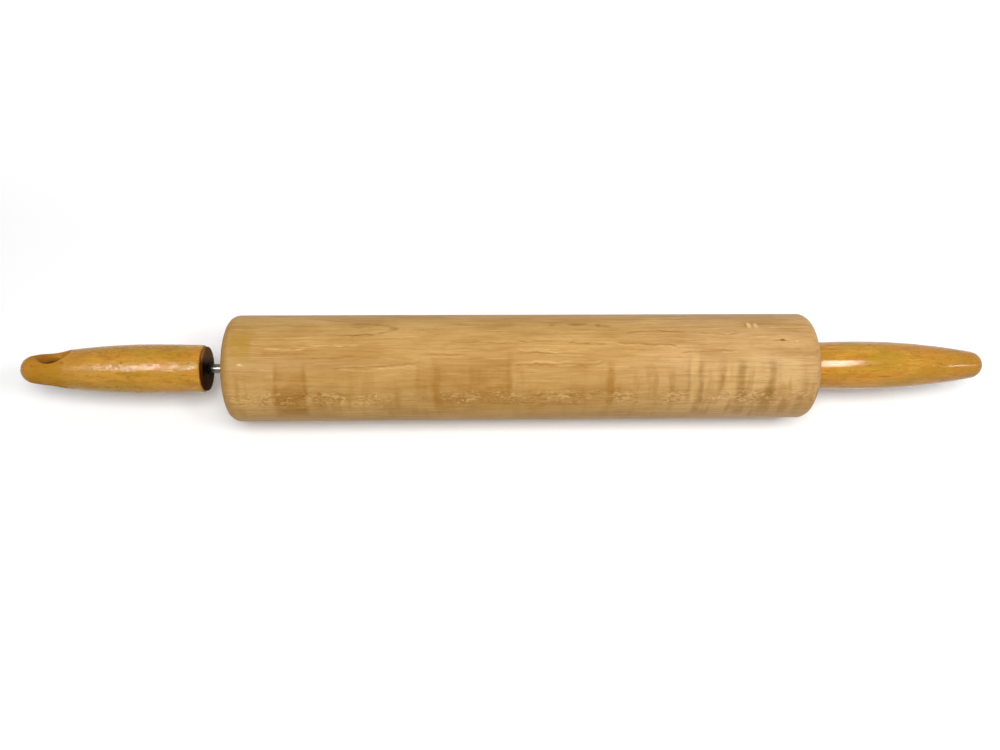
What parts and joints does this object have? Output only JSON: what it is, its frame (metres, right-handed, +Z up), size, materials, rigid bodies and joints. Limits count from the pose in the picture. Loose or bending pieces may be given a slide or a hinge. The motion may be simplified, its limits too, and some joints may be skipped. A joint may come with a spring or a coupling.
{
  "type": "rolling pin with handles",
  "caption": "Wooden rolling pin whose barrel turns on ball bearings round a steel axle rod, with a varnished turned handle at each end and a hang hole across one of them.",
  "frame": {"origin": "on the table under the barrel, midway between the tips of the two handles", "axes": "+X along the pin from the handle with the hang hole to the other, +Z up, +Y away from the picture's camera"},
  "size_m": [0.6378, 0.0696, 0.0695],
  "materials": {
    "maple": "satin, worn smooth",
    "amber_varnished_maple": "glossy amber varnish, finely crazed",
    "dark_brown_phenolic": "glossy",
    "axle_steel": "bright drawn rod",
    "bearing_steel": "polished",
    "pressed_steel": "bright pressed sheet"
  },
  "bodies": {
    "barrel": {"barrel": "maple", "left_bearing_cup": "bearing_steel", "right_bearing_cup": "bearing_steel", "left_bearing_shield": "pressed_steel", "right_bearing_shield": "pressed_steel"},
    "bearing_cones": {"left_bearing_cone": "bearing_steel", "right_bearing_cone": "bearing_steel"},
    "axle": {"axle_rod": "axle_steel", "left_handle": "amber_varnished_maple", "right_handle": "amber_varnished_maple", "left_handle_collar": "dark_brown_phenolic", "right_handle_collar": "dark_brown_phenolic"},
    "left_ball_set": {"left_ball_cage": "pressed_steel", "left_ball_1": "bearing_steel", "left_ball_2": "bearing_steel", "left_ball_3": "bearing_steel", "left_ball_4": "bearing_steel", "left_ball_5": "bearing_steel", "left_ball_6": "bearing_steel", "left_ball_7": "bearing_steel", "left_ball_8": "bearing_steel"},
    "right_ball_set": {"right_ball_cage": "pressed_steel", "right_ball_1": "bearing_steel", "right_ball_2": "bearing_steel", "right_ball_3": "bearing_steel", "right_ball_4": "bearing_steel", "right_ball_5": "bearing_steel", "right_ball_6": "bearing_steel", "right_ball_7": "bearing_steel", "right_ball_8": "bearing_steel"}
  },
  "joints": [
    {"name": "axle_spin", "type": "hinge", "parent": "barrel", "child": "bearing_cones", "pos_m": [0.00725, 0, 0.03476], "axis": [1, 0, 0], "continuous": true},
    {"name": "axle_float", "type": "slide", "parent": "bearing_cones", "child": "axle", "axis": [1, 0, 0], "range_m": [0, 0.0145]},
    {"name": "left_ball_roll", "type": "hinge", "parent": "barrel", "child": "left_ball_set", "pos_m": [-0.17845, 0, 0.03476], "axis": [1, 0, 0], "continuous": true},
    {"name": "right_ball_roll", "type": "hinge", "parent": "barrel", "child": "right_ball_set", "pos_m": [0.19295, 0, 0.03476], "axis": [1, 0, 0], "continuous": true}
  ],
  "couplings": [
    {"joint": "left_ball_roll", "follows": "axle_spin", "ratio": 0.3747},
    {"joint": "right_ball_roll", "follows": "axle_spin", "ratio": 0.3747}
  ]
}
